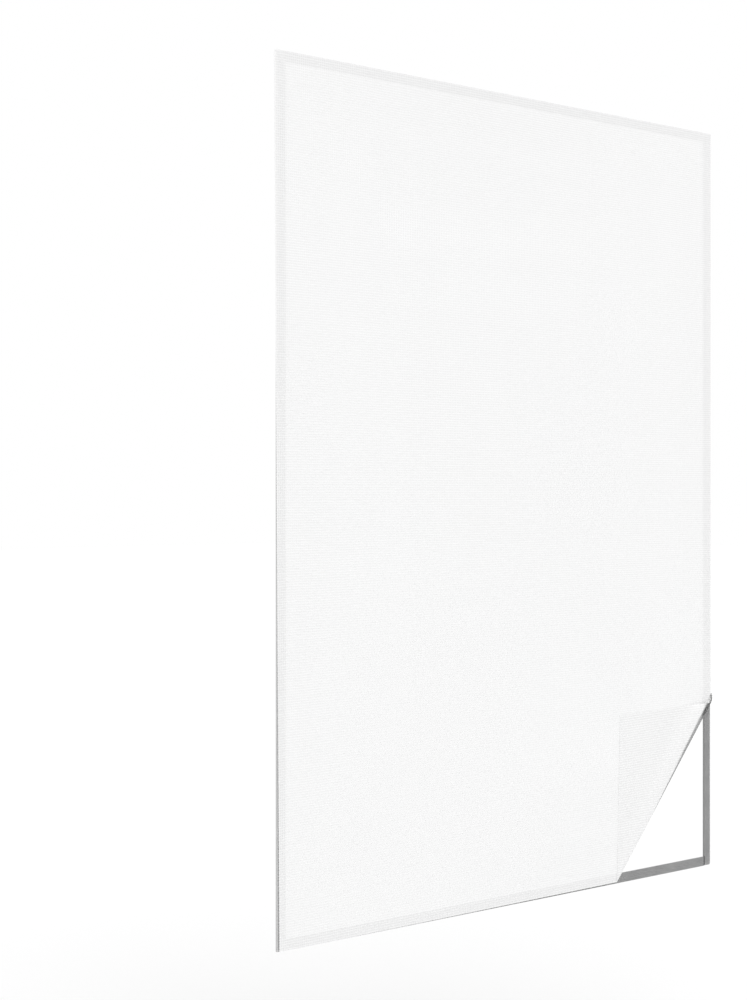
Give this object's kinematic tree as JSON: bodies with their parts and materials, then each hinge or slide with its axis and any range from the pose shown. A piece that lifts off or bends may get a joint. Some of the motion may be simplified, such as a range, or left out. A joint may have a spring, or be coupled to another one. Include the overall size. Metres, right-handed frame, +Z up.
{
  "type": "pollen screen",
  "caption": "Stick-on window pollen screen: a fine white mesh held on grey hook tape strips, with its lower right corner peeled forward.",
  "frame": {"origin": "middle of the bottom strip's adhesive face, which lies against the window", "axes": "+X to the right as seen from the room, +Y from the room towards the window, +Z up"},
  "size_m": [1.0106, 0.0112, 1.3],
  "materials": {
    "pollen_mesh": "fine white woven mesh, slightly see-through",
    "hook_tape": "matt grey nylon hook tape",
    "foam_adhesive": "pale grey foam with a tacky back"
  },
  "bodies": {
    "root": {"pollen_mesh": "pollen_mesh", "hook_tape_left": "hook_tape", "hook_tape_right": "hook_tape", "hook_tape_top": "hook_tape", "hook_tape_bottom": "hook_tape", "adhesive_strip_left": "foam_adhesive", "adhesive_strip_right": "foam_adhesive", "adhesive_strip_top": "foam_adhesive", "adhesive_strip_bottom": "foam_adhesive"}
  },
  "joints": []
}
